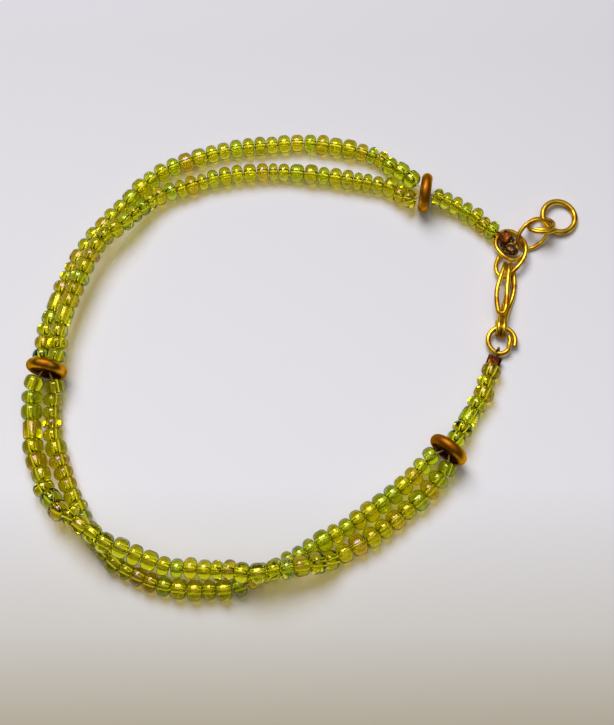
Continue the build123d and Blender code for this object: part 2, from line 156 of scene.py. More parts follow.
table_tint_and_shade, tree, shader = new_material("table_tint_and_shade", Roughness=0.85, Specular_IOR_Level=0.15)
place = add_node(tree, "ShaderNodeTexCoord")
parts = add_node(tree, "ShaderNodeSeparateXYZ")
front = add_node(tree, "ShaderNodeMapRange")
back_edge, front_edge = TABLE_TINTS_AND_SHADE[0][0], TABLE_TINTS_AND_SHADE[-1][0]
feed(parts, Vector=place.outputs["Object"])
feed(front, Value=parts.outputs["Y"], From_Min=back_edge * MM, From_Max=front_edge * MM)
# The ramp lays on the table's tint and its painted shade: darker and browner towards the front, a little
# darker at the back.
tint = add_node(tree, "ShaderNodeValToRGB")
stops = tint.color_ramp.elements
while len(stops) < len(TABLE_TINTS_AND_SHADE):
    stops.new(1.0)
for stop, (edge, colour) in zip(stops, TABLE_TINTS_AND_SHADE):
    stop.position = (back_edge - edge) / (back_edge - front_edge)
    stop.color = colour
feed(tint, Fac=front.outputs["Result"])
feed(shader, Base_Color=tint.outputs["Color"])
table_mesh.materials.append(table_tint_and_shade)
print("table:", 2 * TABLE_HALF, "mm wide")

# %% [markdown]
# ## The light
#
# One soft lamp stands at the back left, high enough for the shadows to fall forward by only about half
# the height of what throws them. Glass and brass show their form only if they have something dark to
# mirror, so a low dark screen stands all round, out of the camera's sight, as a
# jewellery photographer would put black card round a piece. The sky over the screen is an even, faintly
# golden dome that fills the shadows.

# %% Lamp, sky and dark screen
LAMP_HEADING = 112.0       # where it stands, in degrees from +X
LAMP_HEIGHT = 60.0         # degrees over the table
LAMP_DISTANCE = 600.0
LAMP_SIZE = 420.0
LAMP_POWER = 3.46
LAMP_COLOUR = (1.0, 0.972, 0.90)
SKY_COLOUR = (1.0, 0.93, 0.69)
SKY_STRENGTH = 0.55
SCREEN_RADIUS = 420.0
SCREEN_HEIGHT = 450.0
SCREEN_SIDES = 48

lamp_data = bpy.data.lights.new("window_lamp", "AREA")
lamp_data.shape = "DISK"
lamp_data.size = LAMP_SIZE * MM
lamp_data.energy = LAMP_POWER
lamp_data.color = LAMP_COLOUR
lamp = add_object("window_lamp", lamp_data)
level = LAMP_DISTANCE * math.cos(math.radians(LAMP_HEIGHT))
lamp.location = (
    level * math.cos(math.radians(LAMP_HEADING)) * MM,
    level * math.sin(math.radians(LAMP_HEADING)) * MM,
    LAMP_DISTANCE * math.sin(math.radians(LAMP_HEIGHT)) * MM,
)
lamp.rotation_euler = (math.radians(90.0 - LAMP_HEIGHT), 0.0, math.radians(LAMP_HEADING + 90.0))

world = bpy.data.worlds.new("sky")
world.use_nodes = True
feed(world.node_tree.nodes["Background"], Color=(*SKY_COLOUR, 1.0), Strength=SKY_STRENGTH)
scene.world = world

ring = [
    (SCREEN_RADIUS * MM * math.cos(math.tau * n / SCREEN_SIDES),
     SCREEN_RADIUS * MM * math.sin(math.tau * n / SCREEN_SIDES))
    for n in range(SCREEN_SIDES)
]
screen_mesh = bpy.data.meshes.new("dark_screen")
screen_mesh.from_pydata(
    [(x, y, z) for z in (0.0, SCREEN_HEIGHT * MM) for x, y in ring],
    [],
    [(n, (n + 1) % SCREEN_SIDES, (n + 1) % SCREEN_SIDES + SCREEN_SIDES, n + SCREEN_SIDES)
     for n in range(SCREEN_SIDES)],
)
screen = add_object("dark_screen", screen_mesh)
screen.visible_camera = False
screen.visible_shadow = False
screen_mesh.materials.append(new_material("black_card", Base_Color=(0.03, 0.03, 0.03, 1.0), Roughness=1.0)[0])
print("lamp at", [round(v, 3) for v in lamp.location])

# %% [markdown]
# ## The beads' sizes and the discs
#
# Seed beads are short cuts of a glass tube, tumbled hot until their rims melt round. No two are alike,
# which is most of their charm. Each strand is strung from four cuts, from short to long, and each bead's
# length and width then vary by a few percent. The tables here are the anklet's own pattern, the same
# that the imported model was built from, so that the detailed beads lie where the plain ones do.

# %% The cuts of bead, and how beads lie against each other
# Each cut's length, its diameter and how round its rims have melted.
BEAD_CUTS = {
    "s": {"length": 1.70, "diameter": 3.15, "corner": 0.62},
    "n": {"length": 2.10, "diameter": 3.25, "corner": 0.68},
    "l": {"length": 2.45, "diameter": 3.35, "corner": 0.64},
    "t": {"length": 3.40, "diameter": 3.10, "corner": 0.46},
}
LENGTH_SPREAD = 0.06
DIAMETER_SPREAD = 0.075
BEAD_SEED = 7
BEAD_GAP = 0.07            # along the thread, between the flat ends of two beads
SIDE_GAP = 0.08            # between the beads of two strands
TABLE_GAP = 0.01           # below a bead that lies on the table
SETTLE_ROUNDS = 80
GUIDE_STEPS = 12           # samples on each stretch of a guide
NEAR = 6.0                 # beads further apart than this never meet
HOME_PULL = 0.06           # how firmly a bead keeps to its place on the guide, each round
END_PULL = 0.5             # the same for the beads beside a spacer or a crimp
TURN_LIMIT = 0.15          # a turn between two beads, as a sine, past which they part no further
TURN_ROOM = 0.05           # spare length that each bead leaves on the guide for such turns
CORNER_SHARE = 0.46        # of a bead's length, which its rounded corner may take up at most
CLOSE_UP = 0.2             # how readily a gap that is too wide closes, each round
CENTRING = (0.02, 0.24, 0.0)   # moves the middle of the finished anklet over the origin

print("cuts:", {name: (cut["length"], cut["diameter"]) for name, cut in BEAD_CUTS.items()})

# %% The brass discs that the strands run through
# Brass spacers: thick rounded discs that stand on their rims. The heading is that of the thread.
SPACER_RADIUS = 3.42
SPACER_WIDTH = 1.85
SPACER_CLEARANCE = 0.34    # from the spacer's face to the first bead
LEAN_CLEARANCE = 1.25      # more, for a bead that leans, by the sine of its lean
HOLE_SPREAD = 0.45         # two threads share the bore this far each side of its axis
SPACERS = {
    "spacer_top": {"x": 20.4, "y": 28.8, "heading": -9.0},
    "spacer_left": {"x": -43.0, "y": -3.2, "heading": 79.0},
    "spacer_bottom": {"x": 22.9, "y": -17.1, "heading": 52.0},
}

# %% The strands
# Strands: where each begins and ends (spacer, its face, side of the bore), the cuts in the order
# they are threaded, and a guide of the strand's centre line as (x, y, height over the table).
STRANDS = {
    "strand_far_outer": {
        "start": ("spacer_top", -1, 1), "end": ("spacer_left", 1, 0.8), "heights": (3.2, 2.2),
        "strung": "llnssnllnnnnnnnnnnllnnnllnnllnlssntlnnn",
        "guide": ((16.0, 33.4, 2.4), (12.0, 36.6, 1.7), (6.5, 38.3, 1.7), (-0.5, 39.3, 1.7),
                  (-7.0, 38.8, 1.7), (-13.5, 38.0, 1.7), (-19.5, 36.2, 1.7), (-25.5, 33.4, 1.7),
                  (-30.5, 28.5, 1.7), (-35.0, 23.2, 1.7), (-38.4, 18.3, 1.7), (-41.1, 12.4, 1.7),
                  (-42.9, 6.5, 1.7), (-43.8, 2.6, 2.0)),
    },
    "strand_far_inner": {
        "start": ("spacer_top", -1, -1), "end": ("spacer_left", 1, -0.8), "heights": (2.9, 4.0),
        "strung": "nnlnssnnnllnsnlnnnsnsnnsnnllnnnlnnltnnn",
        "guide": ((16.0, 29.9, 2.2), (12.5, 31.1, 1.7), (7.5, 32.1, 1.7), (2.0, 33.0, 1.7),
                  (-4.0, 33.6, 1.7), (-10.5, 33.4, 1.7), (-16.0, 32.4, 1.7), (-21.0, 30.7, 1.7),
                  (-26.0, 28.4, 2.4), (-31.3, 23.1, 3.8), (-35.0, 19.3, 4.4), (-38.1, 12.9, 4.4),
                  (-40.3, 6.1, 4.4), (-41.2, 2.6, 4.1)),
    },
    "strand_near_over": {
        "start": ("spacer_left", -1, 1), "end": ("spacer_bottom", -1, -1), "heights": (2.9, 2.7),
        "strung": "lnltlllnllnllllnlnnnnsnnlnnllllllnlllnnn",
        "guide": ((-45.3, -9.8, 1.8), (-44.6, -15.8, 1.7), (-42.4, -22.7, 2.2), (-39.8, -26.3, 3.4),
                  (-36.2, -29.4, 4.8), (-32.2, -32.2, 4.9), (-28.2, -34.1, 3.9), (-22.6, -36.1, 3.2),
                  (-16.9, -36.8, 3.2), (-12.6, -37.2, 3.8), (-8.6, -37.4, 4.8), (-4.0, -36.8, 4.8),
                  (1.0, -35.6, 3.6), (5.5, -33.7, 1.8), (12.1, -29.7, 1.7), (17.7, -25.1, 1.8)),
    },
    "strand_near_under": {
        "start": ("spacer_left", -1, -1), "end": ("spacer_bottom", -1, 1), "heights": (2.9, 2.8),
        "strung": "lnnsnlnnnnnnnlnlnnnnllnlnnnnnnnlnnnllnlnnn",
        "guide": ((-41.9, -9.8, 1.8), (-41.2, -15.8, 1.7), (-39.2, -21.2, 1.7), (-37.0, -26.3, 1.7),
                  (-33.8, -31.3, 1.7), (-29.5, -35.7, 1.7), (-23.5, -38.4, 1.7), (-17.1, -39.3, 1.7),
                  (-10.6, -38.5, 1.7), (-6.0, -36.5, 1.7), (-1.7, -34.3, 1.7), (3.8, -31.2, 1.7),
                  (9.0, -28.0, 1.7), (14.3, -23.9, 1.7), (17.5, -21.2, 2.0)),
    },
    "tail_top": {
        "start": ("spacer_top", 1, 0), "end": None, "heights": (3.0, None),
        "strung": "snnnnnn",
        "guide": ((25.1, 27.3, 2.2), (27.0, 26.3, 1.8), (28.7, 25.2, 1.65), (30.2, 23.9, 1.65),
                  (32.5, 22.0, 1.65)),
    },
    "tail_bottom": {
        "start": ("spacer_bottom", 1, 0), "end": None, "heights": (2.9, None),
        "strung": "lntnlnl",
        "guide": ((25.4, -13.3, 2.4), (26.8, -10.9, 1.9), (28.1, -8.8, 1.65), (29.3, -6.6, 1.65),
                  (30.0, -4.5, 1.65), (31.1, -2.1, 1.65)),
    },
}

print("beads:", sum(len(strand["strung"]) for strand in STRANDS.values()))

# %% [markdown]
# ## A little geometry
#
# Plain functions on (x, y, z) tuples are enough to lay the beads, and they give the same numbers on
# every computer. A physics simulation could drop the beads on the table instead, but each run would
# then have to be baked, and the strands would no longer follow the pattern above.

# %% Vectors, and a smooth line through a few points
def unit(vector):
    """The vector at length 1."""
    size = math.hypot(*vector)
    return tuple(part / size for part in vector)


def along(start, direction, distance):
    """The point a distance from start in a direction."""
    return tuple(a + distance * d for a, d in zip(start, direction))


def dot(first, second):
    """The scalar product."""
    return sum(a * b for a, b in zip(first, second))


def between(start, end):
    """The vector from start to end."""
    return tuple(b - a for a, b in zip(start, end))


def heading(degrees):
    """The level unit vector at an angle from +X."""
    angle = math.radians(degrees)
    return (math.cos(angle), math.sin(angle), 0.0)


def smooth(points):
    """A Catmull-Rom curve through the points, as short runs."""
    first = along(points[0], between(points[1], points[0]), 1.0)
    last = along(points[-1], between(points[-2], points[-1]), 1.0)
    ends = [first, *points, last]
    curve = []
    for p0, p1, p2, p3 in zip(ends, ends[1:], ends[2:], ends[3:]):
        for step in range(GUIDE_STEPS):
            t = step / GUIDE_STEPS
            curve.append(tuple(
                0.5 * (2 * b + (c - a) * t + (2 * a - 5 * b + 4 * c - d) * t**2
                       + (3 * b - a - 3 * c + d) * t**3)
                for a, b, c, d in zip(p0, p1, p2, p3)
            ))
    return [*curve, points[-1]]


def run_lengths(line):
    """How far each point of a line lies from its start, along the line."""
    lengths = [0.0]
    for a, b in zip(line, line[1:]):
        lengths.append(lengths[-1] + math.dist(a, b))
    return lengths


def point_at(line, lengths, distance):
    """The point at a distance along a line."""
    step = 0
    while step < len(lengths) - 2 and lengths[step + 1] < distance:
        step += 1
    share = (distance - lengths[step]) / (lengths[step + 1] - lengths[step])
    return along(line[step], between(line[step], line[step + 1]), share)


print("points on a line through three:", len(smooth([(0, 0, 0), (1, 0, 0), (2, 1, 0)])))

# %% [markdown]
# ## Laying the beads
#
# First the beads are laid end to end along each strand's guide line. Then they settle: each bead aims
# along the thread, keeps a little gap to its neighbours, moves aside where another strand's bead is in
# its way, and never sinks into the table.

# %% Threading the beads on their guide line
def bore_point(place, distance):
    """A point by a spacer's bore: on the thread's side of it, a distance out from its middle."""
    name, face, side = place
    spacer = SPACERS[name]
    axis = heading(spacer["heading"])
    across = heading(spacer["heading"] + 90.0)
    middle = (spacer["x"], spacer["y"], SPACER_RADIUS)
    return along(along(middle, axis, face * distance), across, side * HOLE_SPREAD)


def first_point(place, height, following):
    """Where a strand's first bead begins: beside the spacer's face, one bead to each side.

    A bead that leans away from the spacer's axis begins further out, so that its rim clears the face.
    """
    name, face, side = place
    spacer = SPACERS[name]
    axis = heading(spacer["heading"])
    across = heading(spacer["heading"] + 90.0)
    spread = (BEAD_CUTS["n"]["diameter"] + SIDE_GAP) / 2 * side
    point = along((spacer["x"], spacer["y"], height), across, spread)
    lean = math.sqrt(1 - dot(unit(between(point, following)), axis) ** 2)
    return along(point, axis, face * (SPACER_WIDTH / 2 + SPACER_CLEARANCE + LEAN_CLEARANCE * lean))


def thread_beads(strand, chance):
    """The strand's beads, laid end to end along its guide and scaled a little to fill it."""
    guide = list(strand["guide"])
    guide.insert(0, first_point(strand["start"], strand["heights"][0], guide[0]))
    if strand["end"]:
        guide.append(first_point(strand["end"], strand["heights"][1], guide[-1]))
    line = smooth(guide)
    lengths = run_lengths(line)
    beads = []
    for cut in strand["strung"]:
        sizes = BEAD_CUTS[cut]
        beads.append({
            "cut": cut,
            "length": sizes["length"] * chance.uniform(1 - LENGTH_SPREAD, 1 + LENGTH_SPREAD),
            "radius": sizes["diameter"] / 2 * chance.uniform(1 - DIAMETER_SPREAD, 1 + DIAMETER_SPREAD),
        })
    gaps = (BEAD_GAP + TURN_ROOM) * (len(beads) - 1)
    fit = (lengths[-1] - gaps) / sum(bead["length"] for bead in beads)
    reached = 0.0
    for bead in beads:
        bead["length"] *= fit
        bead["corner"] = min(BEAD_CUTS[bead["cut"]]["corner"], CORNER_SHARE * bead["length"])
        bead["centre"] = point_at(line, lengths, reached + bead["length"] / 2)
        bead["home"] = bead["centre"]
        reached += bead["length"] + BEAD_GAP + TURN_ROOM
    return beads, fit


# %% Settling them against each other
def aim(strand, beads):
    """Turn each bead along the thread, from the bead before it to the bead after it."""
    first = bore_point(strand["start"], SPACER_WIDTH / 2)
    last = along(beads[-1]["centre"], between(beads[-2]["centre"], beads[-1]["centre"]), 1.0)
    if strand["end"]:
        last = bore_point(strand["end"], SPACER_WIDTH / 2)
    line = [first, *(bead["centre"] for bead in beads), last]
    for bead, before, after in zip(beads, line, line[2:]):
        bead["axis"] = unit(between(before, after))


def core(bead):
    """Half the length of the bead's core: a line on its axis that its radius is drawn round."""
    return max(bead["length"] / 2 - bead["corner"], 0.0)


def closest(first, second):
    """The closest points of two beads' cores."""
    apart = between(second["centre"], first["centre"])
    lean = dot(first["axis"], second["axis"])
    one = dot(first["axis"], apart)
    two = dot(second["axis"], apart)
    spare = max(1 - lean * lean, 1e-6)
    s = max(-core(first), min(core(first), (lean * two - one) / spare))
    t = max(-core(second), min(core(second), two + s * lean))
    s = max(-core(first), min(core(first), t * lean - one))
    return along(first["centre"], first["axis"], s), along(second["centre"], second["axis"], t)


def part_beads(first, second):
    """Move two beads of different strands apart until their sides clear each other."""
    here, there = closest(first, second)
    need = first["radius"] + second["radius"] + SIDE_GAP
    distance = math.dist(here, there)
    if distance < need:
        push = unit(between(here, there))
        first["centre"] = along(first["centre"], push, (distance - need) / 2)
        second["centre"] = along(second["centre"], push, (need - distance) / 2)


def end_to_end(first, second):
    """Move two neighbours on a thread apart until their flat ends clear each other."""
    line = unit(between(first["centre"], second["centre"]))
    rims = first["radius"] - first["corner"] + second["radius"] - second["corner"]
    turn = math.sqrt(max(1 - dot(first["axis"], second["axis"]) ** 2, 0.0))
    need = (first["length"] + second["length"]) / 2 + BEAD_GAP + rims * min(turn, TURN_LIMIT) / 2
    distance = math.dist(first["centre"], second["centre"])
    move = (need - distance) / 2
    if move < 0:
        move *= CLOSE_UP
    first["centre"] = along(first["centre"], line, -move)
    second["centre"] = along(second["centre"], line, move)


def settle(strands):
    """Let the beads push each other aside, as they do when the strands are laid down together."""
    rows = [(name, bead) for name, beads in strands.items() for bead in beads]
    pairs = [
        (one, two)
        for at, (name, one) in enumerate(rows)
        for other, two in rows[at + 1:]
        if name != other and math.dist(one["centre"], two["centre"]) < NEAR
    ]
    for _ in range(SETTLE_ROUNDS):
        for name, beads in strands.items():
            aim(STRANDS[name], beads)
            for bead in beads:
                bead["centre"] = along(bead["centre"], between(bead["centre"], bead["home"]), HOME_PULL)
            for first, second in zip(beads, beads[1:]):
                end_to_end(first, second)
            for end in (beads[0], beads[-1]):
                end["centre"] = along(end["centre"], between(end["centre"], end["home"]), END_PULL)
        for one, two in pairs:
            part_beads(one, two)
        for _, bead in rows:
            x, y, z = bead["centre"]
            bead["centre"] = (x, y, max(z, bead["radius"] + core(bead) * abs(bead["axis"][2]) + TABLE_GAP))
    for name, beads in strands.items():
        aim(STRANDS[name], beads)


# %% Lay all six strands
def lay_strands():
    """Every strand's beads, where they lie."""
    chance = random.Random(BEAD_SEED)
    strands = {}
    for name, strand in STRANDS.items():
        strands[name], fit = thread_beads(strand, chance)
        print(f"{name}: {len(strands[name])} beads, sizes x {fit:.3f}")
    settle(strands)
    return strands


strands = lay_strands()
highest = max(bead["centre"][2] for beads in strands.values() for bead in beads)
print("highest bead centre:", round(highest, 2), "mm")

# %% [markdown]
# ## The shape of one bead
#
# A bead could be a cylinder with a bevel, but real ones have a soft barrel side, round rims, a hole with
# a melted edge, and a slightly uneven wall. So the bead's section is drawn once as a closed outline of
# (place along the hole, distance from it), and turned round the hole. Each point of the turn is
# pushed in or out a little by two slow waves, different for each bead, and the ends are cut a touch
# askew.

# %% The section of a bead
HOLE_RADIUS = 0.50
HOLE_EDGE = 0.22           # the melted edge of the hole
BARREL = 0.09              # how much narrower the side is at its ends
CORNER_STEPS = 7
EDGE_STEPS = 3
SIDE_STEPS = 4
BEAD_SIDES = 36


def arc(centre, radius, start, end, steps):
    """Points on an arc, from the start angle to the end angle in degrees."""
    angles = [math.radians(start + (end - start) * n / steps) for n in range(steps + 1)]
    return [(centre[0] + radius * math.cos(a), centre[1] + radius * math.sin(a)) for a in angles]


def bead_section(length, radius, corner):
    """The closed outline of half a bead, as (along, out) pairs."""
    end = length / 2
    side = [(end - corner - 2 * (end - corner) * n / SIDE_STEPS, radius) for n in range(1, SIDE_STEPS)]
    bore = [(-(end - HOLE_EDGE) * (1 - 2 * n / SIDE_STEPS), HOLE_RADIUS) for n in range(1, SIDE_STEPS)]
    outline = [
        *arc((end - HOLE_EDGE, HOLE_RADIUS + HOLE_EDGE), HOLE_EDGE, -90, 0, EDGE_STEPS),
        *arc((end - corner, radius - corner), corner, 0, 90, CORNER_STEPS),
        *side,
        *arc((corner - end, radius - corner), corner, 90, 180, CORNER_STEPS),
        *arc((HOLE_EDGE - end, HOLE_RADIUS + HOLE_EDGE), HOLE_EDGE, 180, 270, EDGE_STEPS),
        *bore,
    ]
    return [(x, r - BARREL * (x / end) ** 2 * (r - HOLE_RADIUS) / (radius - HOLE_RADIUS)) for x, r in outline]


SECTION_POINTS = len(bead_section(2.1, 1.6, 0.8))   # the same for every bead
print("points in a section:", SECTION_POINTS)

# %% Turning the section into glass, with small faults
WAVE = 0.012               # how far from round a bead is, as a share of its radius
RIPPLE = 0.006             # the same for a finer wave
ASKEW = 0.020              # how far from square its ends are cut, as a slope
WAVE_SEED = 23
ROUNDER = 1.30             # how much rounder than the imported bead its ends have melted
LEAST_SIDE = 0.06          # half of the barrel side that is left when they are round
LEAST_END = 0.02           # and the flat ring round the hole's edge


def bead_points(bead, chance):
    """The bead's points in metres, ring after ring round its hole."""
    most = min(bead["length"] / 2 - LEAST_SIDE, bead["radius"] - HOLE_RADIUS - HOLE_EDGE - LEAST_END)
    section = np.array(bead_section(bead["length"], bead["radius"], min(ROUNDER * bead["corner"], most)))
    along_hole, out = section[:, 0], section[:, 1]
    turn = np.arange(BEAD_SIDES) * math.tau / BEAD_SIDES
    wave = WAVE * np.cos(2 * turn + chance.uniform(0, math.tau))
    wave += RIPPLE * np.cos(3 * turn + chance.uniform(0, math.tau))
    lean = ASKEW * np.cos(turn + chance.uniform(0, math.tau)) * chance.uniform(-1, 1)
    axis = np.array(bead["axis"])
    side = np.cross(axis, (0.0, 0.0, 1.0))
    side /= np.linalg.norm(side)
    up = np.cross(side, axis)
    push = 1 + wave[:, None] * (out - HOLE_RADIUS) / (bead["radius"] - HOLE_RADIUS)
    reach = out[None, :] * push
    shift = along_hole[None, :] + lean[:, None] * out[None, :] * np.sign(along_hole)[None, :] * 0.5
    points = (
        np.array(bead["centre"]) + np.array(CENTRING)
        + shift[..., None] * axis
        + (reach * np.cos(turn)[:, None])[..., None] * side
        + (reach * np.sin(turn)[:, None])[..., None] * up
    )
    return points.reshape(-1, 3) * MM


def ring_faces(rings, around, first):
    """Quads of a closed tube that also closes on itself, as a bead's section does."""
    a = np.arange(rings)[:, None] * around
    b = np.roll(np.arange(rings), -1)[:, None] * around
    here = np.arange(around)[None, :]
    following = np.roll(here, -1, axis=1)
    quads = np.stack([a + here, b + here, b + following, a + following], axis=-1)
    return quads.reshape(-1, 4) + first


def join_beads(name, beads, chance):
    """One mesh of all the beads of a strand, each with its own mark from 0 to 1."""
    points = []
    faces = []
    marks = []
    for bead in beads:
        faces.append(ring_faces(BEAD_SIDES, SECTION_POINTS, len(points) * BEAD_SIDES * SECTION_POINTS))
        points.append(bead_points(bead, chance))
        marks.append(np.full(BEAD_SIDES * SECTION_POINTS, chance.random()))
    mesh = bpy.data.meshes.new(name)
    mesh.from_pydata(np.concatenate(points).tolist(), [], np.concatenate(faces).tolist())
    mesh.attributes.new("bead_mark", "FLOAT", "POINT").data.foreach_set("value", np.concatenate(marks))
    mesh.shade_smooth()
    return add_object(name, mesh)


# %% Every strand's beads
chance = random.Random(WAVE_SEED)
bead_pieces = {}
for name, beads in strands.items():
    piece = join_beads(f"beads_{name}", beads, chance)
    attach(piece, "root")
    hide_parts(name)
    bead_pieces[name] = piece
    print(piece.name, len(piece.data.polygons), "faces")

# %% [markdown]
# ## The thread
#
# Through the glass one sees the thread in each hole, and at the clasp it comes out of the last bead,
# goes through the crimp, round the ring and back. It is two fine yarns twisted together. Two separate
# spirals would be the literal way, but one tube with a two-lobed section that turns as it goes looks the
# same at this size and stays one closed mesh.

# %% The loops at the crimps
CRIMP_LEG = 0.27           # the loop's two legs lie this far each side of the bore's middle
CRIMPS = {
    "crimp_top": {"x": 34.0, "y": 20.9, "z": 2.20, "heading": -36.0},
    "crimp_bottom": {"x": 31.25, "y": -1.15, "z": 1.22, "heading": 68.0},
}
# The thread's loop past each crimp, from its mouth and back: (along, height, side of the legs).
LOOPS = {
    "crimp_top": ((-2.60, 1.66, 1.0), (-0.90, 2.20, 1.0), (0.80, 2.20, 1.0), (1.40, 1.85, 0.6),
                  (1.40, 0.75, -0.6), (0.75, 0.32, -1.0), (-1.20, 0.30, -1.0), (-1.90, 0.85, -1.0),
                  (-2.60, 1.64, -1.0)),
    "crimp_bottom": ((-1.80, 1.45, 1.0), (-0.95, 1.26, 1.0), (0.80, 1.26, 1.0), (1.45, 1.68, 0.8),
                     (2.25, 1.80, 0.4), (2.65, 1.00, -0.1), (2.25, 0.24, -0.5), (1.50, 0.20, -0.8),
                     (1.15, 0.42, -1.0), (0.98, 1.14, -1.0), (-0.95, 1.22, -1.0), (-1.80, 1.42, -1.0)),
}

# Past the upper crimp the thread's ends are wound into a flat knot that fills the clasp's ring.
# A row for each layer: its middle from the crimp, its size, and the heights it lies between.
KNOT = (
    {"along": 1.50, "side": -0.75, "length": 3.60, "width": 2.20, "low": 0.80, "high": 1.56},
    {"along": 0.98, "side": 0.40, "length": 2.50, "width": 1.90, "low": 0.90, "high": 1.65},
    {"along": 1.95, "side": -0.70, "length": 2.40, "width": 1.90, "low": 1.25, "high": 2.25},
)


def crimp_point(crimp, row):
    """A point of the thread's loop by a crimp, from its row of the table."""
    distance, height, side = row
    middle = along((crimp["x"], crimp["y"], height), heading(crimp["heading"]), distance)
    return along(middle, heading(crimp["heading"] + 90.0), side * CRIMP_LEG)


def cut_corners(points, rounds):
    """The line through the points with its corners cut off, again and again, until it is round."""
    for _ in range(rounds):
        cut = [points[0]]
        for here, following in zip(points, points[1:]):
            cut.append(along(here, between(here, following), 0.25))
            cut.append(along(here, between(here, following), 0.75))
        points = [*cut, points[-1]]
    return points


# %% A twisted thread along a line
THREAD_RADIUS = 0.18
THREAD_REACH = 0.25        # a thread ends this far short of a disc's middle
THREAD_STEP = 0.14         # between two rings of its mesh
THREAD_SIDES = 12
YARN_DEPTH = 0.30          # how deep the groove between the two yarns is, as a share of the radius
YARN_TWIST = 2.2           # one full turn of the twist, along the thread


def thread_mesh(name, line, thick=THREAD_RADIUS):
    """A closed mesh of a two-yarn thread along the line."""
    lengths = run_lengths(line)
    count = int(lengths[-1] / THREAD_STEP)
    places = [point_at(line, lengths, lengths[-1] * n / count) for n in range(count + 1)]
    centres = np.array(places) + np.array(CENTRING)
    ways = np.gradient(centres, axis=0)
    ways /= np.linalg.norm(ways, axis=1)[:, None]
    turn = np.arange(THREAD_SIDES) * math.tau / THREAD_SIDES
    rings = []
    side = np.cross(ways[0], (0.0, 0.0, 1.0))
    for step, (centre, way) in enumerate(zip(centres, ways)):
        side = side - way * np.dot(side, way)
        side /= np.linalg.norm(side)
        up = np.cross(way, side)
        twist = math.tau * step * lengths[-1] / count / YARN_TWIST
        radius = thick * (1 - YARN_DEPTH * np.sin(turn - twist) ** 2)
        rings.append(centre + (radius * np.cos(turn))[:, None] * side + (radius * np.sin(turn))[:, None] * up)
    points = np.concatenate(rings) * MM
    around = np.arange(THREAD_SIDES)
    following = np.roll(around, -1)
    steps = np.arange(count)[:, None] * THREAD_SIDES
    quads = np.stack(
        [steps + around, steps + following, steps + THREAD_SIDES + following, steps + THREAD_SIDES + around],
        axis=-1,
    ).reshape(-1, 4).tolist()
    caps = [around[::-1].tolist(), (around + count * THREAD_SIDES).tolist()]
    mesh = bpy.data.meshes.new(name)
    mesh.from_pydata(points.tolist(), [], quads + caps)
    mesh.shade_smooth()
    return mesh


# %% Every strand's thread
thread_pieces = []
loops = {name: cut_corners([crimp_point(CRIMPS[name], row) for row in LOOPS[name]], 3) for name in CRIMPS}
for name, beads in strands.items():
    line = [bore_point(STRANDS[name]["start"], THREAD_REACH), *(bead["centre"] for bead in beads)]
    if STRANDS[name]["end"]:
        line.append(bore_point(STRANDS[name]["end"], THREAD_REACH))
    else:
        line.extend(loops[name.replace("tail", "crimp")][:2])
    piece = add_object(f"thread_{name}", thread_mesh(f"thread_{name}", line))
    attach(piece, "root")
    thread_pieces.append(piece)
    print(piece.name, len(piece.data.polygons), "faces")

# %% [markdown]
# ## The knot in the clasp's ring
#
# Past the upper crimp the thread's ends are wound into a small dark knot that fills the ring. Each of its
# three layers is wound like a ball of yarn: the thread goes round and round, and every round is
# turned a little from the last. A smooth lump inside keeps light from showing through. The loops that
# the thread makes at the two crimps are as dark as the knot, and are made with it. Its dark brown carries
# sparse golden glints, which are painted highlights.

# %% The knot
KNOT_THREAD = 0.16
KNOT_ROUNDS = 9
KNOT_LEAN = 62.0           # how steeply a round crosses the layer, in degrees
KNOT_STEPS = 40            # points in a round
KNOT_SWING = 2.4           # how far each round is turned from the last, in radians
LUMP = 0.97                # the lump inside, as a share of the layer


def knot_point(crimp, layer, place):
    """A point of a layer, from its place in a ball of radius 1."""
    low, high = layer["low"], layer["high"]
    axis, across = heading(crimp["heading"]), heading(crimp["heading"] + 90.0)
    middle = along((crimp["x"], crimp["y"], (low + high) / 2), axis, layer["along"])
    middle = along(middle, across, layer["side"])
    point = along(middle, axis, place[0] * (layer["length"] / 2 - KNOT_THREAD))
    point = along(point, across, place[1] * (layer["width"] / 2 - KNOT_THREAD))
    return along(point, (0.0, 0.0, 1.0), place[2] * ((high - low) / 2 - KNOT_THREAD))


def wound_place(turn):
    """Where the thread is after this many rounds, in a ball of radius 1."""
    round_angle, swing = turn * math.tau, turn * KNOT_SWING
    lean = math.radians(KNOT_LEAN)
    first = (math.cos(swing), math.sin(swing), 0.0)
    second = (-math.sin(swing) * math.cos(lean), math.cos(swing) * math.cos(lean), math.sin(lean))
    return tuple(math.cos(round_angle) * a + math.sin(round_angle) * b for a, b in zip(first, second))


knot_shape = bmesh.new()
for name, line in loops.items():
    loop = thread_mesh(f"loop_{name}", line)
    knot_shape.from_mesh(loop)
    bpy.data.meshes.remove(loop)
crimp = CRIMPS["crimp_top"]
wound = [wound_place(n / KNOT_STEPS) for n in range(KNOT_ROUNDS * KNOT_STEPS + 1)]
for layer in KNOT:
    winding = thread_mesh("winding", [knot_point(crimp, layer, place) for place in wound], KNOT_THREAD)
    knot_shape.from_mesh(winding)
    bpy.data.meshes.remove(winding)
    lump = bmesh.ops.create_icosphere(knot_shape, subdivisions=3, radius=LUMP)
    for vertex in lump["verts"]:
        place = along(knot_point(crimp, layer, vertex.co), CENTRING, 1.0)
        vertex.co = [part * MM for part in place]
knot_mesh = bpy.data.meshes.new("knot")
knot_shape.to_mesh(knot_mesh)
knot_shape.free()
knot_mesh.shade_smooth()
knot = add_object("knot", knot_mesh)
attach(knot, "root")
print("knot:", len(knot_mesh.polygons), "faces")
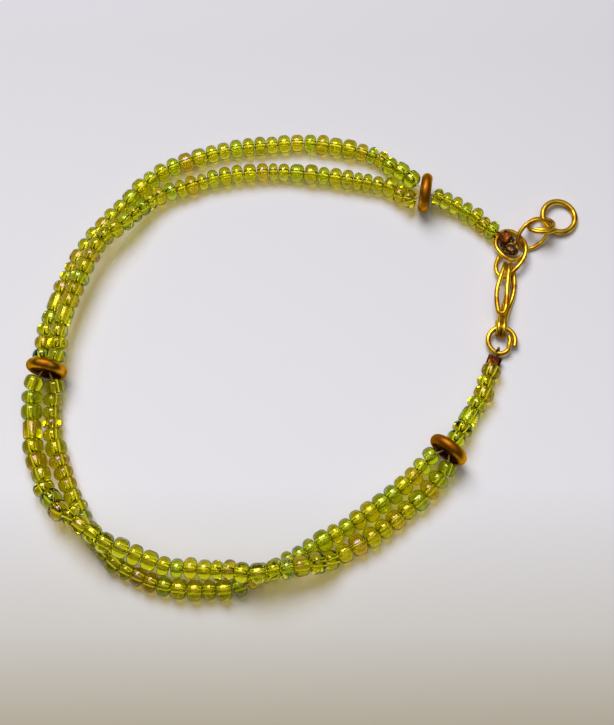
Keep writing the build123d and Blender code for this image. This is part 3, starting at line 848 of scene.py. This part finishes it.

# %% [markdown]
# ## Glass
#
# The beads are clear lime glass with a rainbow coating: a film of metal oxide, thinner than a hundredth
# of a hair, that mirrors one colour and lets the others through. The shader has both: its film
# thickness gives the rainbow, and an absorbing volume gives the depth, pale where the glass is thin and
# deep yellow where light goes a long way through it. One flat colour would look like plastic. No two
# cuts of glass tube are the same, so there are three mixes of glass, and a shared group of nodes varies
# the tint from bead to bead and along each bead's streaks.
# Each bead's rim also carries painted shade: its colour is painted dark where the glass turns away from the
# eye, for the dark surroundings that rims show.

# %% Helpers: a group of nodes with named sockets
SOCKETS = {"colour": "NodeSocketColor", "value": "NodeSocketFloat", "vector": "NodeSocketVector"}


def new_group(name, inputs, outputs):
    """A shader node group. Inputs and outputs are given as name=(kind, value) and name=kind."""
    group = bpy.data.node_groups.new(name, "ShaderNodeTree")
    for key, (kind, value) in inputs.items():
        socket = group.interface.new_socket(key, in_out="INPUT", socket_type=SOCKETS[kind])
        socket.default_value = value
    for key, kind in outputs.items():
        group.interface.new_socket(key, in_out="OUTPUT", socket_type=SOCKETS[kind])
    start = group.nodes.new("NodeGroupInput")
    end = group.nodes.new("NodeGroupOutput")
    return group, start, end


def place_group(tree, group, **values):
    """The group as a node in a material, with its own values."""
    node = add_node(tree, "ShaderNodeGroup", node_tree=group)
    feed(node, **values)
    return node


# %% Helpers: the nodes that more than one finish uses
def add_noise(tree, scale, detail):
    """A noise in the piece's own coordinates."""
    place = add_node(tree, "ShaderNodeTexCoord")
    noise = add_node(tree, "ShaderNodeTexNoise")
    feed(noise, Vector=place.outputs["Object"], Scale=scale, Detail=detail)
    return noise.outputs["Fac"]


def add_math(tree, operation, *terms, **settings):
    """The result of an operation on the terms, in their order."""
    node = add_node(tree, "ShaderNodeMath", operation=operation, **settings)
    feed(node, *terms)
    return node.outputs["Value"]


def ease(tree, value, low, high):
    """0 up to the low value, 1 from the high one on, and a smooth rise between them."""
    node = add_node(tree, "ShaderNodeMapRange", interpolation_type="SMOOTHSTEP")
    feed(node, Value=value, From_Min=low, From_Max=high)
    return node.outputs["Result"]


def mix_colours(tree, factor, first, second):
    """The first colour where the factor is 0, and the second where it is 1."""
    node = add_node(tree, "ShaderNodeMix", data_type="RGBA")
    feed(node, Factor=factor, A=first, B=second)
    return node.outputs["Result"]


def add_bump(shader, height, strength, depth):
    """Bump a shader's surface by a height from 0 to 1, which stands for a depth in mm."""
    bump = add_node(shader.id_data, "ShaderNodeBump")
    feed(bump, Height=height, Strength=strength, Distance=depth * MM)
    feed(shader, Normal=bump.outputs["Normal"])


# %% Group: tint and streaks of drawn glass
STREAK_SPREAD = 0.9        # how far the streaks take a bead's tint from its own
RIM_SHUFFLE = 7.0          # draws the rim's colour anew from the mark that gave the bead its tint

glass_streaks, start, end = new_group(
    "glass_streaks",
    {
        "Pale": ("colour", (0.95, 0.95, 0.6, 1.0)),
        "Deep": ("colour", (0.8, 0.85, 0.2, 1.0)),
        "Rim Brown": ("colour", (0.10, 0.05, 0.01, 1.0)),
        "Rim Green": ("colour", (0.04, 0.08, 0.01, 1.0)),
        "Streak Scale": ("value", 900.0),
    },
    {"Colour": "colour", "Rim": "colour", "Height": "value"},
)
# The Rim colour is painted shade for each bead's rim, brown or green as drawn from the bead's mark; the
# material lays it on where the glass turns away from the eye.
mark = add_node(glass_streaks, "ShaderNodeAttribute", attribute_name="bead_mark").outputs["Fac"]
streaks = add_noise(glass_streaks, start.outputs["Streak Scale"], detail=2.0)
centred = add_math(glass_streaks, "MULTIPLY_ADD", streaks, STREAK_SPREAD, -STREAK_SPREAD / 2)
blend = add_math(glass_streaks, "ADD", mark, centred, use_clamp=True)
drawn = add_math(glass_streaks, "FRACT", add_math(glass_streaks, "MULTIPLY", mark, RIM_SHUFFLE))
feed(
    end,
    Colour=mix_colours(glass_streaks, blend, start.outputs["Pale"], start.outputs["Deep"]),
    Rim=mix_colours(glass_streaks, drawn, start.outputs["Rim Brown"], start.outputs["Rim Green"]),
    Height=streaks,
)
print("group:", glass_streaks.name, len(glass_streaks.nodes), "nodes")

# %% Three mixes of lime glass
GLASS_MIXES = {
    "lime_glass": {"pale": (1.0, 1.0, 0.30), "deep": (0.91, 0.91, 0.13), "depth": (0.930, 0.935, 0.01),
                   "film": 268.0},
    "leaf_glass": {"pale": (0.97, 1.0, 0.30), "deep": (0.80, 0.89, 0.12), "depth": (0.910, 0.935, 0.01),
                   "film": 240.0},
    "gold_glass": {"pale": (1.0, 0.98, 0.28), "deep": (0.93, 0.84, 0.11), "depth": (0.938, 0.922, 0.01),
                   "film": 325.0},
}
GLASS_DENSITY = 1050.0     # how strongly the depth's colour takes hold
FILM_IOR = 1.7
GLASS_IOR = 1.52
GLASS_ROUGHNESS = 0.03
WAVINESS = 0.06
WAVE_DEPTH = 0.1
# Painted shade on the rims: the glass's base colour is painted these dark colours where it turns away from
# the eye, for the dark surroundings seen there.
RIM_SHADE_BROWN = (0.040, 0.020, 0.001, 1.0)
RIM_SHADE_GREEN = (0.012, 0.028, 0.001, 1.0)
RIM_SHADE_FROM = 0.34            # how far the glass turns away from the eye where its rim starts to darken
RIM_SHADE_TO = 0.82              # and where it is darkest
LUSTRE_GOLD = (0.95, 0.88, 0.40, 1.0)
LUSTRE_PALE = (1.0, 0.97, 0.95, 1.0)
PALE_MARKS = (0.70, 0.90)  # most beads mirror a golden light, and those marked past this a pale one
SHADOW_TINT = (0.50, 0.375, 0.03, 1.0)   # the light that each surface of a bead lets into its shadow

glass_finishes = []
for name, mix in GLASS_MIXES.items():
    finish, tree, shader = new_material(
        name, Roughness=GLASS_ROUGHNESS, IOR=GLASS_IOR, Transmission_Weight=1.0,
        Thin_Film_Thickness=mix["film"], Thin_Film_IOR=FILM_IOR,
    )
    tint = place_group(
        tree, glass_streaks, Pale=(*mix["pale"], 1.0), Deep=(*mix["deep"], 1.0),
        Rim_Brown=RIM_SHADE_BROWN, Rim_Green=RIM_SHADE_GREEN,
    )
    # Painted rim shade: the tint gives way to the rim's dark colour as the glass turns away from the eye.
    facing = add_node(tree, "ShaderNodeLayerWeight").outputs["Facing"]
    turned = ease(tree, facing, RIM_SHADE_FROM, RIM_SHADE_TO)
    mark = add_node(tree, "ShaderNodeAttribute", attribute_name="bead_mark").outputs["Fac"]
    feed(
        shader,
        Base_Color=mix_colours(tree, turned, tint.outputs["Colour"], tint.outputs["Rim"]),
        Specular_Tint=mix_colours(tree, ease(tree, mark, *PALE_MARKS), LUSTRE_GOLD, LUSTRE_PALE),
    )
    add_bump(shader, tint.outputs["Height"], WAVINESS, WAVE_DEPTH)
    depth = add_node(tree, "ShaderNodeVolumeAbsorption")
    feed(depth, Color=(*mix["depth"], 1.0), Density=GLASS_DENSITY)
    rays = add_node(tree, "ShaderNodeLightPath")
    shade = add_node(tree, "ShaderNodeBsdfTransparent")
    feed(shade, Color=SHADOW_TINT)
    both = add_node(tree, "ShaderNodeMixShader")
    feed(both, rays.outputs["Is Shadow Ray"], shader.outputs["BSDF"], shade.outputs["BSDF"])
    feed(tree.nodes["Material Output"], Surface=both.outputs["Shader"], Volume=depth.outputs["Volume"])
    glass_finishes.append(finish)
print("glass:", [finish.name for finish in glass_finishes])

# %% Give each bead its glass
GLASS_SHARES = (0.55, 0.25, 0.20)
GLASS_SEED = 5

chance = random.Random(GLASS_SEED)
faces_of_bead = BEAD_SIDES * SECTION_POINTS
for name, piece in bead_pieces.items():
    for finish in glass_finishes:
        piece.data.materials.append(finish)
    mixes = chance.choices(range(len(glass_finishes)), GLASS_SHARES, k=len(strands[name]))
    piece.data.polygons.foreach_set("material_index", np.repeat(mixes, faces_of_bead))
    print(name, "".join("lfg"[mix] for mix in mixes))

# %% [markdown]
# ## The thread's finish
#
# Beading thread is nylon yarn: pale olive, a little shiny, with fine fibres along the twist. A fine noise
# stretched along the thread would need its own coordinates, so a plain fine noise does, for both the
# colour and the bump.

# %% Thread finish
THREAD_DARK = (0.28, 0.25, 0.08, 1.0)
THREAD_PALE = (0.62, 0.57, 0.24, 1.0)
FIBRE_SCALE = 9000.0

thread_finish, tree, shader = new_material("pale_thread", Roughness=0.55, Sheen_Weight=0.3)
fibres = add_noise(tree, FIBRE_SCALE, detail=3.0)
feed(shader, Base_Color=mix_colours(tree, fibres, THREAD_DARK, THREAD_PALE))
add_bump(shader, fibres, strength=0.5, depth=0.03)
for piece in thread_pieces:
    piece.data.materials.append(thread_finish)
print("thread finish on", len(thread_pieces), "pieces")

# %% Knot finish
# The knot is dark brown with painted highlights: sparse golden glints laid on by a noise.
KNOT_DARK = (0.060, 0.018, 0.003, 1.0)
KNOT_GLINT = (0.55, 0.34, 0.06, 1.0)
GLINT_SCALE = 2200.0
GLINT_FROM = 0.53         # where the noise is past this, the painted golden glints start
GLINT_TO = 0.60

knot_finish, tree, shader = new_material("dark_thread", Roughness=0.40, Specular_IOR_Level=0.12)
glints = ease(tree, add_noise(tree, GLINT_SCALE, detail=2.0), GLINT_FROM, GLINT_TO)
feed(shader, Base_Color=mix_colours(tree, glints, KNOT_DARK, KNOT_GLINT))
knot_mesh.materials.append(knot_finish)
print("knot finish:", knot_finish.name)

# %% [markdown]
# ## Brass
#
# Wire, discs and crimps are all brass, but each is worn in its own way: the wire is bright with darker
# patches where fingers don't reach, the discs are satin and browner, and the crimps are antique brown. The
# discs' faces and bores are painted dark beside their satin rims, as painted shade. One shared group mixes
# a bright and a dull colour by a patchy noise, and gives a fine grain for the bump. Each material places it
# with its own colours and sizes.

# %% Group: worn brass
WEAR_TOP = 0.85            # brass with no wear is dull only where the noise is past this
WEAR_BLEND = 0.2           # how far the dull patches' edges spread

worn_brass, start, end = new_group(
    "worn_brass",
    {
        "Bright": ("colour", (0.8, 0.55, 0.1, 1.0)),
        "Dull": ("colour", (0.3, 0.15, 0.03, 1.0)),
        "Wear": ("value", 0.5),
        "Patch Scale": ("value", 400.0),
        "Grain Scale": ("value", 6000.0),
        "Smooth": ("value", 0.2),
        "Rough": ("value", 0.4),
    },
    {"Colour": "colour", "Roughness": "value", "Height": "value"},
)
low = add_math(worn_brass, "SUBTRACT", WEAR_TOP, start.outputs["Wear"])
high = add_math(worn_brass, "ADD", low, WEAR_BLEND)
mask = ease(worn_brass, add_noise(worn_brass, start.outputs["Patch Scale"], detail=4.0), low, high)
roughness = add_node(worn_brass, "ShaderNodeMapRange")
feed(roughness, Value=mask, To_Min=start.outputs["Smooth"], To_Max=start.outputs["Rough"])
feed(
    end,
    Colour=mix_colours(worn_brass, mask, start.outputs["Bright"], start.outputs["Dull"]),
    Roughness=roughness.outputs["Result"],
    Height=add_noise(worn_brass, start.outputs["Grain Scale"], detail=2.0),
)
print("group:", worn_brass.name, len(worn_brass.nodes), "nodes")

# %% Four brass finishes
BRASS = {
    "bright_wire": {"bright": (0.86, 0.58, 0.05), "dull": (0.40, 0.17, 0.01), "wear": 0.40,
                    "patch": 500.0, "grain": 7000.0, "smooth": 0.30, "rough": 0.46, "bump": 0.10},
    "satin_disc": {"bright": (0.68, 0.33, 0.018), "dull": (0.32, 0.11, 0.006), "wear": 0.46,
                   "patch": 350.0, "grain": 4000.0, "smooth": 0.30, "rough": 0.50, "bump": 0.25},
    # Painted shade: the finish for the discs' faces and bores, which stand in shade beside the satin rims.
    "painted_shade_disc": {"bright": (0.16, 0.045, 0.005), "dull": (0.05, 0.010, 0.002), "wear": 0.50,
                  "patch": 500.0, "grain": 4000.0, "smooth": 0.45, "rough": 0.70, "bump": 0.25},
    "brown_crimp": {"bright": (0.24, 0.072, 0.016), "dull": (0.055, 0.014, 0.005), "wear": 0.50,
                    "patch": 900.0, "grain": 5000.0, "smooth": 0.35, "rough": 0.60, "bump": 0.35},
}
BRASS_EDGE = (0.95, 0.66, 0.18, 1.0)   # what all of them mirror at a glancing angle
GRAIN_DEPTH = 0.02


def brass_finish(name, look):
    """A brass material with its own colours and wear."""
    finish, tree, shader = new_material(name, Metallic=1.0, Specular_Tint=BRASS_EDGE)
    wear = place_group(
        tree, worn_brass, Bright=(*look["bright"], 1.0), Dull=(*look["dull"], 1.0), Wear=look["wear"],
        Patch_Scale=look["patch"], Grain_Scale=look["grain"], Smooth=look["smooth"], Rough=look["rough"],
    )
    feed(shader, Base_Color=wear.outputs["Colour"], Roughness=wear.outputs["Roughness"])
    add_bump(shader, wear.outputs["Height"], look["bump"], GRAIN_DEPTH)
    return finish


brass_finishes = {name: brass_finish(name, look) for name, look in BRASS.items()}
print("brass:", list(brass_finishes))

# %% Give each metal piece its finish
METAL_PIECES = {
    "bright_wire": ("ring_clasp", "ring_link", "ring_coil", "ring_end", "ring_hook", "hook"),
    "satin_disc": tuple(SPACERS),
    "brown_crimp": tuple(CRIMPS),
}
for finish, nodes in METAL_PIECES.items():
    for node in nodes:
        for material_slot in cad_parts[node].material_slots:
            material_slot.material = brass_finishes[finish]
    print(finish, "on", ", ".join(nodes))

# %% Painted shade on the discs' faces and bores
SHADE_WITHIN = 2.65         # from the disc's axis


def disc_radius(point, spacer):
    """How far a point is from a disc's axis, in mm."""
    middle = along((spacer["x"], spacer["y"], SPACER_RADIUS), CENTRING, 1.0)
    offset = [part / MM - centre for part, centre in zip(point, middle)]
    reach = sum(part * way for part, way in zip(offset, heading(spacer["heading"])))
    return math.sqrt(max(sum(part * part for part in offset) - reach * reach, 0.0))


for node, spacer in SPACERS.items():
    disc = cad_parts[node]
    disc.data.materials.append(brass_finishes["painted_shade_disc"])
    dark = [disc_radius(disc.matrix_world @ face.center, spacer) < SHADE_WITHIN for face in disc.data.polygons]
    disc.data.polygons.foreach_set("material_index", [int(inner) for inner in dark])
    print(node, sum(dark), "dark faces of", len(dark))
